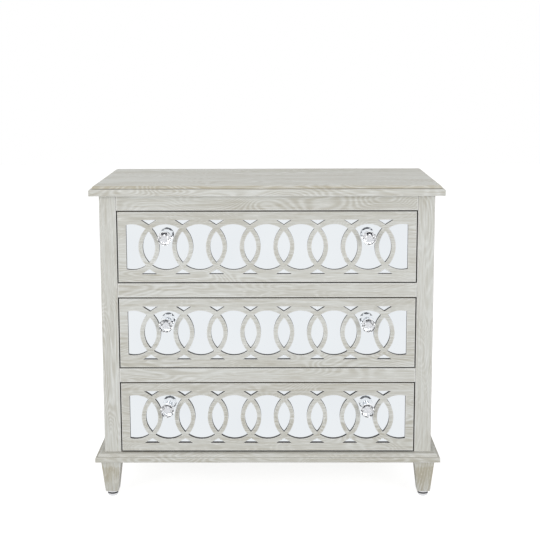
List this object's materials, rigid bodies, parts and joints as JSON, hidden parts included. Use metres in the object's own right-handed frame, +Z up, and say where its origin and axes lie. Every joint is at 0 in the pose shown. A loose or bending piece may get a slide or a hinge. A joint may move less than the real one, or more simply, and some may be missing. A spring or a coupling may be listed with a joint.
{
  "type": "chest of drawers",
  "caption": "Low limed oak chest of drawers with interlaced ring fretwork over mirrored fronts, cut crystal knobs and tapered feet on metal glides.",
  "frame": {"origin": "on the floor, under the middle of the whole chest's box, knobs counted", "axes": "+X to the chest's right as seen from the front, +Y from the front to the back, +Z up"},
  "size_m": [0.9, 0.4688, 0.8274],
  "materials": {
    "limed_oak": "limed and matt lacquered oak, pale grey-beige with white-filled grain",
    "plain_maple": "plain pale hardwood, clear matt",
    "mirror": "clear silvered mirror",
    "cut_crystal": "clear cut crystal",
    "chromed_metal": "bright chrome"
  },
  "bodies": {
    "case": {"top_board": "limed_oak", "base_board": "limed_oak", "post_front_left": "limed_oak", "post_front_right": "limed_oak", "post_back_left": "limed_oak", "post_back_right": "limed_oak", "side_panel_left": "limed_oak", "side_panel_right": "limed_oak", "back_panel": "plain_maple", "top_rail": "limed_oak", "divider_rail_lower": "limed_oak", "divider_rail_upper": "limed_oak", "runner_lower_left": "plain_maple", "runner_lower_right": "plain_maple", "runner_middle_left": "plain_maple", "runner_middle_right": "plain_maple", "runner_upper_left": "plain_maple", "runner_upper_right": "plain_maple", "foot_front_left": "limed_oak", "foot_front_right": "limed_oak", "foot_back_left": "limed_oak", "foot_back_right": "limed_oak", "glide_front_left": "chromed_metal", "glide_front_right": "chromed_metal", "glide_back_left": "chromed_metal", "glide_back_right": "chromed_metal"},
    "drawer_lower": {"fret_panel_lower": "limed_oak", "mirror_lower": "mirror", "drawer_front_lower": "plain_maple", "drawer_side_lower_left": "plain_maple", "drawer_side_lower_right": "plain_maple", "drawer_back_lower": "plain_maple", "drawer_bottom_lower": "plain_maple", "knob_crystal_lower_left": "cut_crystal", "knob_crystal_lower_right": "cut_crystal", "knob_stem_lower_left": "chromed_metal", "knob_stem_lower_right": "chromed_metal"},
    "drawer_middle": {"fret_panel_middle": "limed_oak", "mirror_middle": "mirror", "drawer_front_middle": "plain_maple", "drawer_side_middle_left": "plain_maple", "drawer_side_middle_right": "plain_maple", "drawer_back_middle": "plain_maple", "drawer_bottom_middle": "plain_maple", "knob_crystal_middle_left": "cut_crystal", "knob_crystal_middle_right": "cut_crystal", "knob_stem_middle_left": "chromed_metal", "knob_stem_middle_right": "chromed_metal"},
    "drawer_upper": {"fret_panel_upper": "limed_oak", "mirror_upper": "mirror", "drawer_front_upper": "plain_maple", "drawer_side_upper_left": "plain_maple", "drawer_side_upper_right": "plain_maple", "drawer_back_upper": "plain_maple", "drawer_bottom_upper": "plain_maple", "knob_crystal_upper_left": "cut_crystal", "knob_crystal_upper_right": "cut_crystal", "knob_stem_upper_left": "chromed_metal", "knob_stem_upper_right": "chromed_metal"}
  },
  "joints": [
    {"name": "drawer_lower_slide", "type": "slide", "parent": "case", "child": "drawer_lower", "axis": [0, -1, 0], "range_m": [0, 0.28]},
    {"name": "drawer_middle_slide", "type": "slide", "parent": "case", "child": "drawer_middle", "axis": [0, -1, 0], "range_m": [0, 0.28]},
    {"name": "drawer_upper_slide", "type": "slide", "parent": "case", "child": "drawer_upper", "axis": [0, -1, 0], "range_m": [0, 0.28]}
  ]
}
